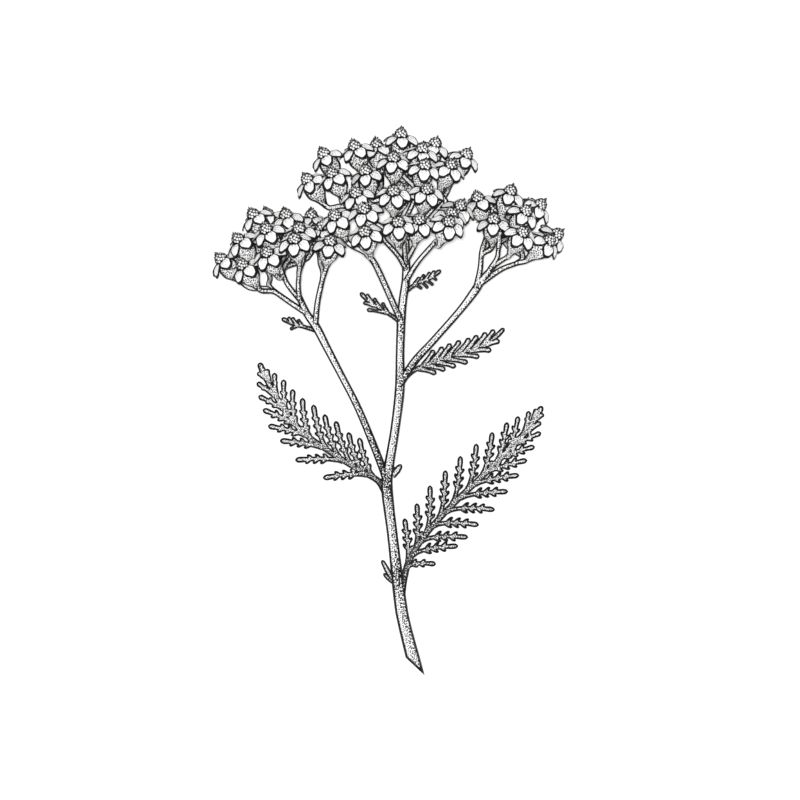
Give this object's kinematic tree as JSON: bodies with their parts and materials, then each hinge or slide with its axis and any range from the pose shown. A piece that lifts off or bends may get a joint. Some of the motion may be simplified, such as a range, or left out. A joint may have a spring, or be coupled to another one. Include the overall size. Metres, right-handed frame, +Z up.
{
  "type": "yarrow plant",
  "caption": "Cut flowering sprig of yarrow, lying down: a long stem with forked sprays of small daisy-like heads, feathery leaves and small bracts.",
  "frame": {"origin": "middle of the sprig's outline, on the surface that it lies on", "axes": "+Y along the sprig from its cut end towards its flowers, +X across it to its right, +Z up"},
  "size_m": [0.0881, 0.1382, 0.0403],
  "materials": {
    "stalk": "matte",
    "leaf": "matte",
    "ray": "matte"
  },
  "bodies": {
    "root": {"stem": "stalk", "spray_left": "stalk", "spray_right": "stalk", "spray_top": "stalk", "leaf_right_low": "leaf", "leaf_left": "leaf", "leaf_right_high": "leaf", "bract_left": "leaf", "bract_middle": "leaf", "bract_top": "leaf", "bloom_left_01": "ray", "bloom_left_02": "ray", "bloom_left_03": "ray", "bloom_left_04": "ray", "bloom_left_05": "ray", "bloom_left_06": "ray", "bloom_left_07": "ray", "bloom_left_08": "ray", "bloom_left_09": "ray", "bloom_left_10": "ray", "bloom_left_11": "ray", "bloom_left_12": "ray", "bloom_left_13": "ray", "bloom_left_14": "ray", "bloom_right_01": "ray", "bloom_right_02": "ray", "bloom_right_03": "ray", "bloom_right_04": "ray", "bloom_right_05": "ray", "bloom_right_06": "ray", "bloom_right_07": "ray", "bloom_right_08": "ray", "bloom_right_09": "ray", "bloom_right_10": "ray", "bloom_top_01": "ray", "bloom_top_02": "ray", "bloom_top_03": "ray", "bloom_top_04": "ray", "bloom_top_05": "ray", "bloom_top_06": "ray", "bloom_top_07": "ray", "bloom_top_08": "ray", "bloom_top_09": "ray", "bloom_top_10": "ray", "bloom_top_11": "ray", "bloom_top_12": "ray", "bloom_top_13": "ray", "bloom_top_14": "ray", "bloom_top_15": "ray", "bloom_top_16": "ray", "bloom_top_17": "ray", "bloom_top_18": "ray", "bloom_top_19": "ray", "bloom_top_20": "ray", "bloom_top_21": "ray", "bloom_top_22": "ray", "bloom_top_23": "ray", "bloom_top_24": "ray", "bloom_top_25": "ray", "bloom_top_26": "ray"}
  },
  "joints": []
}
